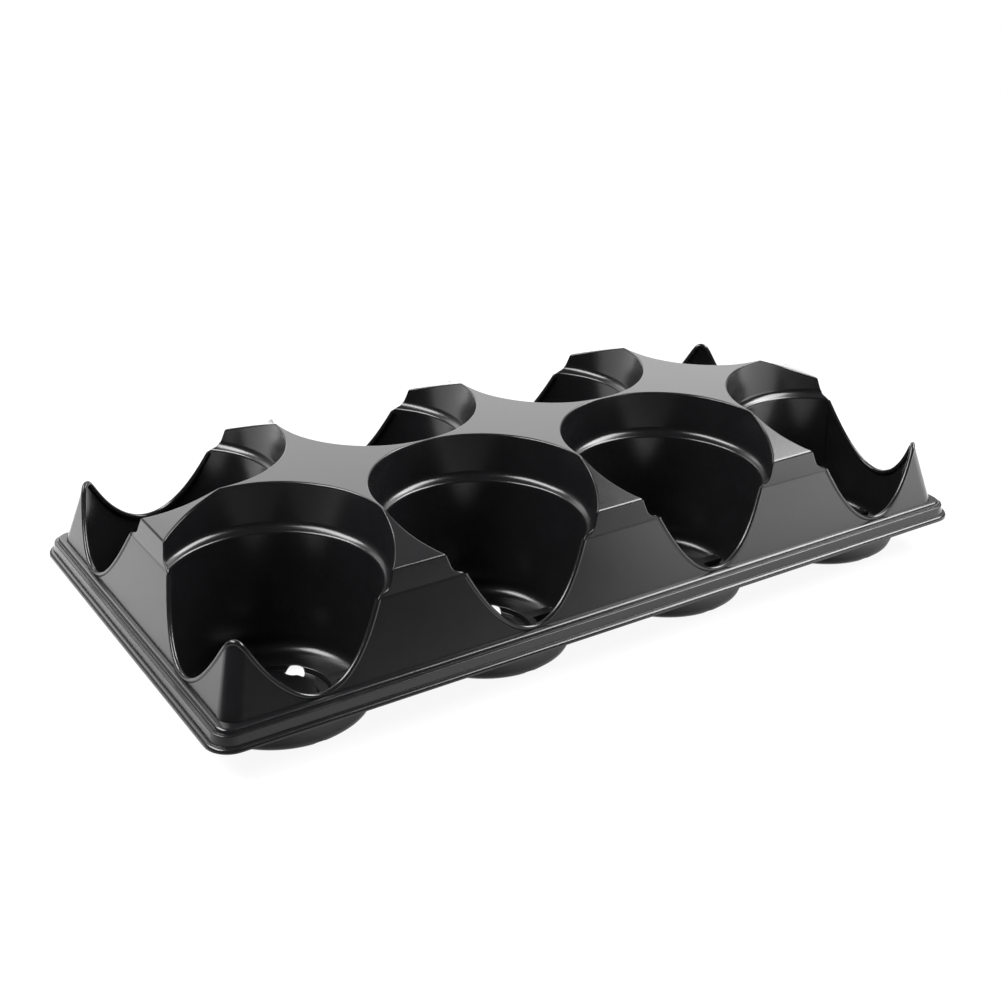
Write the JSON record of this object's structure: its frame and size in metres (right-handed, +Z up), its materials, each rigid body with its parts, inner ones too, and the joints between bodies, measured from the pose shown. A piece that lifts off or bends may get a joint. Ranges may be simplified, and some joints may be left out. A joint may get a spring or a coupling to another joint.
{
  "type": "compartment tray",
  "caption": "Black formed plastic carry tray with two rows of round pot pockets hung from a hipped deck, open through the skirt, over a stepped rim.",
  "frame": {"origin": "middle of the tray in plan, on the ground that its pocket floors stand on", "axes": "+X along the tray, +Y across it, +Z up out of the pockets"},
  "size_m": [0.5086, 0.2526, 0.0985],
  "materials": {
    "sheet": "satin black formed polystyrene sheet"
  },
  "bodies": {
    "root": {"tray": "sheet"}
  },
  "joints": []
}
